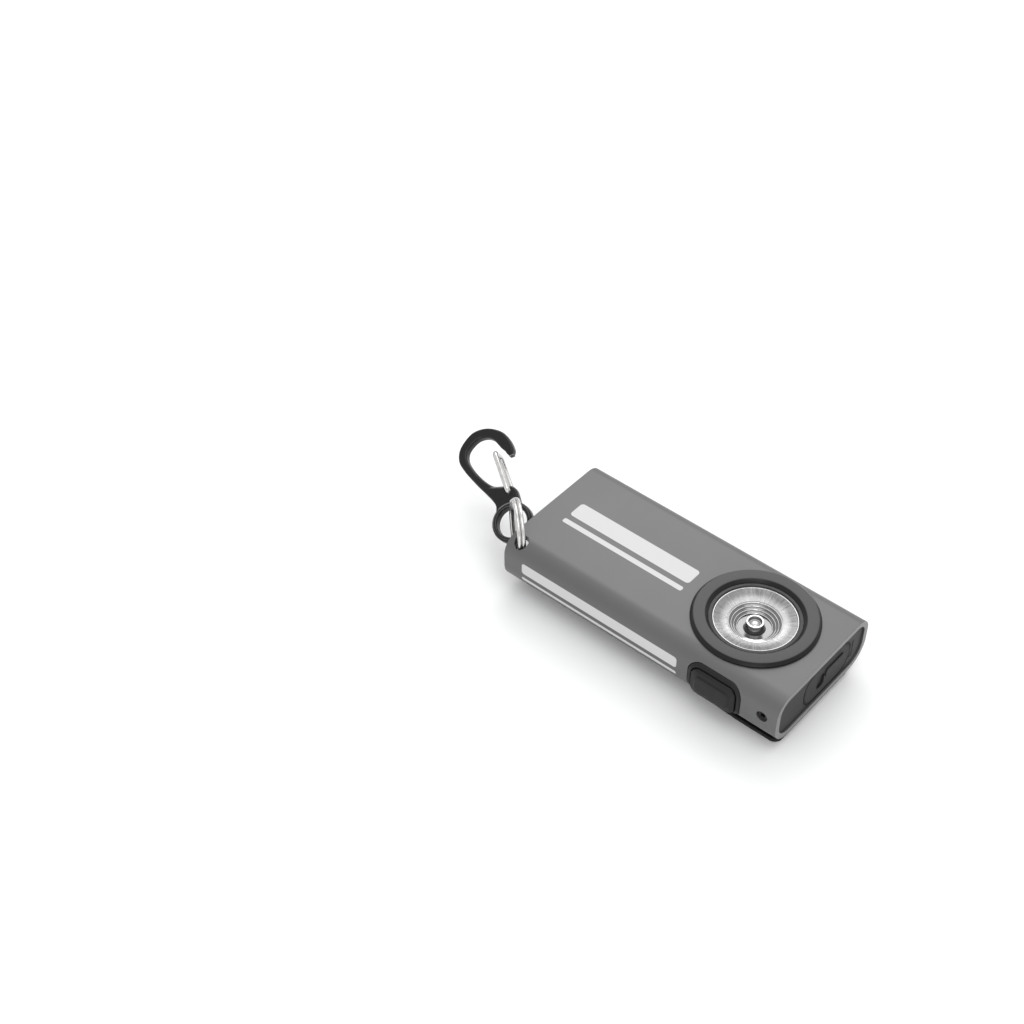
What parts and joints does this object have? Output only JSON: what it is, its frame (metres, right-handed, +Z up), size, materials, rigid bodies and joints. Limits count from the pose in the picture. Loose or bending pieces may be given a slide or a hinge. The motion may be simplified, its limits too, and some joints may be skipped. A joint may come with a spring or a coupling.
{
  "type": "keychain flashlight",
  "caption": "Flat keychain flashlight: aluminium tube, dished lens in a black bezel, side button, charging port flap, spring clip, split ring and snap hook.",
  "frame": {"origin": "on the optical axis of the lens, in the plane of the clip's flat underside, on which the light rests", "axes": "+X along the tube from the tail to the lens end, +Z up along the optical axis, out of the lens"},
  "size_m": [0.0839, 0.0289, 0.0159],
  "materials": {
    "tube_anodised": "satin grey anodised",
    "cap_plastic": "matte dark grey",
    "flap_rubber": "matte dark grey",
    "black_steel": "black oxide",
    "bezel_black": "satin black anodised",
    "lens_clear": "clear moulded",
    "black_silicone": "matte",
    "holder_plastic": "matte",
    "emitter": "phosphor yellow",
    "board_white": "white solder mask",
    "board_green": "green solder mask",
    "chip_plastic": "matte black",
    "bright_steel": "plated",
    "plunger_plastic": "dark red",
    "button_rubber": "matte black",
    "tray_plastic": "matte",
    "cell_foil": "satin foil",
    "foam": "open foam",
    "wire_red": "red insulation",
    "clip_black": "black oxide",
    "ring_steel": "nickel plated",
    "hook_gunmetal": "gunmetal plated"
  },
  "bodies": {
    "root": {"tube": "tube_anodised", "lens_end_cap": "cap_plastic", "flap_tether": "flap_rubber", "cap_screws": "black_steel", "bezel_ring": "bezel_black", "tir_lens": "lens_clear", "lens_gasket": "black_silicone", "lens_holder": "holder_plastic", "led_emitter": "emitter", "led_board": "board_white", "main_pcb": "board_green", "driver_chips": "chip_plastic", "usb_receptacle": "bright_steel", "usb_tongue": "chip_plastic", "tact_switch": "chip_plastic", "button_frame": "button_rubber", "chassis_tray": "tray_plastic", "battery_cell": "cell_foil", "battery_foam": "foam", "battery_wires": "wire_red", "tail_plug": "cap_plastic", "clip_foot": "clip_black", "clip_screws": "black_steel", "clip_backing_plate": "bright_steel"},
    "button": {"side_button": "button_rubber"},
    "plunger": {"switch_plunger": "plunger_plastic"},
    "flap": {"usb_flap": "flap_rubber"},
    "clip": {"clip_arm": "clip_black"},
    "ring": {"split_ring": "ring_steel"},
    "hook": {"hook_body": "hook_gunmetal"},
    "gate": {"hook_gate": "ring_steel"}
  },
  "joints": [
    {"name": "button_press", "type": "slide", "parent": "root", "child": "button", "axis": [0, 1, 0], "range_m": [0, 0.0003], "stiffness_N_per_m": 1500},
    {"name": "plunger_press", "type": "slide", "parent": "root", "child": "plunger", "axis": [0, 1, 0], "range_m": [0, 0.0003]},
    {"name": "flap_open", "type": "hinge", "parent": "root", "child": "flap", "pos_m": [0.0143, 0.00885, 0.0074], "axis": [0, 0, 1], "range_deg": [0, 110]},
    {"name": "clip_flex", "type": "hinge", "parent": "root", "child": "clip", "pos_m": [-0.011, 0, 0.0008], "axis": [0, 1, 0], "range_deg": [0, 5], "stiffness_Nm_per_rad": 2},
    {"name": "ring_yaw", "type": "hinge", "parent": "root", "child": "ring", "pos_m": [-0.0434, -0.0119, 0.0094], "axis": [0, 0, 1], "range_deg": [0, 15]},
    {"name": "hook_travel", "type": "hinge", "parent": "ring", "child": "hook", "pos_m": [-0.04749, -0.00826, 0.0094], "axis": [0.6639, 0.7478, 0], "range_deg": [0, 45]},
    {"name": "gate_open", "type": "hinge", "parent": "hook", "child": "gate", "pos_m": [-0.05502, -0.0014, 0.00969], "axis": [0, -0.5664, 0.8241], "range_deg": [0, 22], "stiffness_Nm_per_rad": 0.02}
  ],
  "couplings": [
    {"joint": "plunger_press", "follows": "button_press", "ratio": 1}
  ]
}
